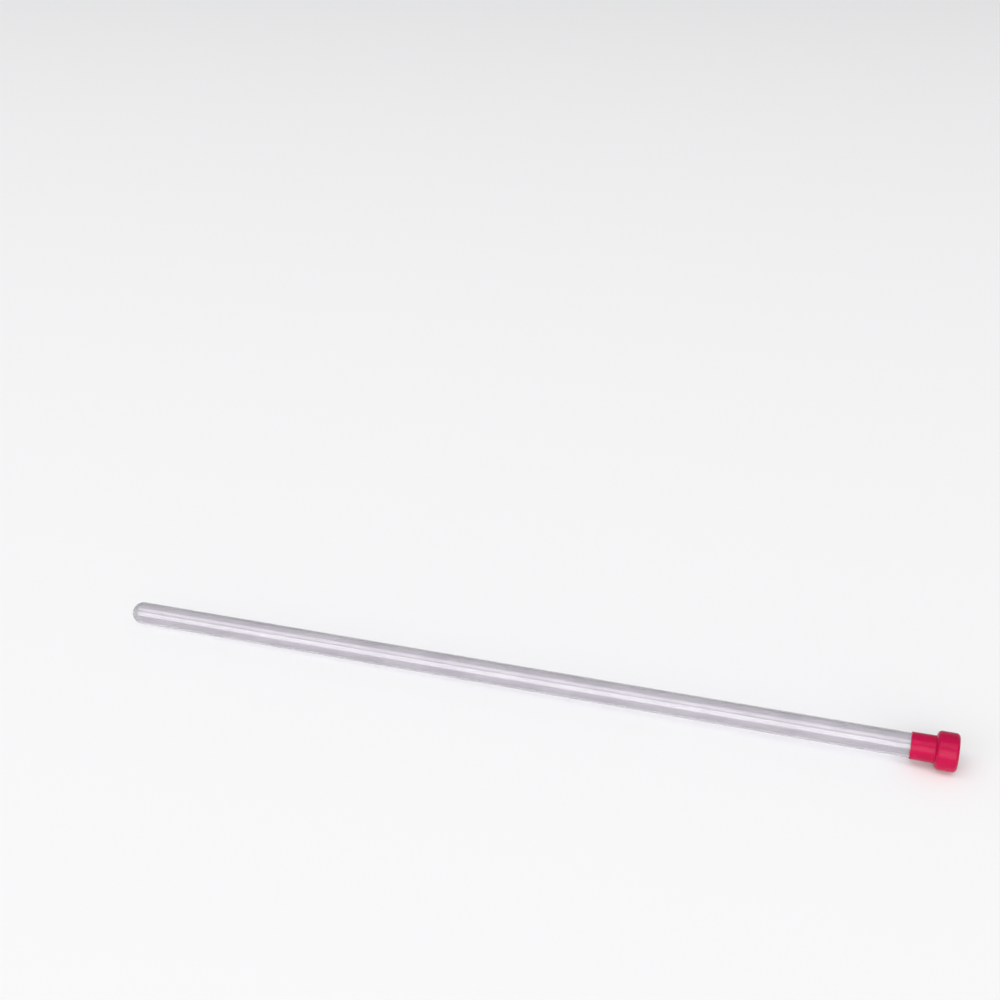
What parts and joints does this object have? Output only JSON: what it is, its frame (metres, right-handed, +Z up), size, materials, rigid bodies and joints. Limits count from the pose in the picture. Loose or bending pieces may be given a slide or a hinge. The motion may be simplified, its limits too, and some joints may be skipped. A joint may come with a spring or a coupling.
{
  "type": "nmr tube",
  "caption": "Slim round-bottomed glass sample tube with a thin even wall, closed by a short push-on plastic cap whose wider drum head has rounded edges.",
  "frame": {"origin": "on the surface that the tube lies on, under the middle of the whole object", "axes": "+X along the tube towards its cap, +Z up; the tube's own axis leans up towards the cap by about half a degree, because the cap's head is wider than the glass"},
  "size_m": [0.182, 0.0076, 0.0077],
  "materials": {
    "glass": "clear fire-polished borosilicate glass, very faintly frosted by handling",
    "cap_plastic": "satin moulded polyethylene, crimson all through"
  },
  "bodies": {
    "tube": {"glass_tube": "glass"},
    "cap": {"cap": "cap_plastic"}
  },
  "joints": [
    {"name": "cap_slide", "type": "slide", "parent": "tube", "child": "cap", "axis": [1, 0, 0.0078], "range_m": [0, 0.03]}
  ]
}
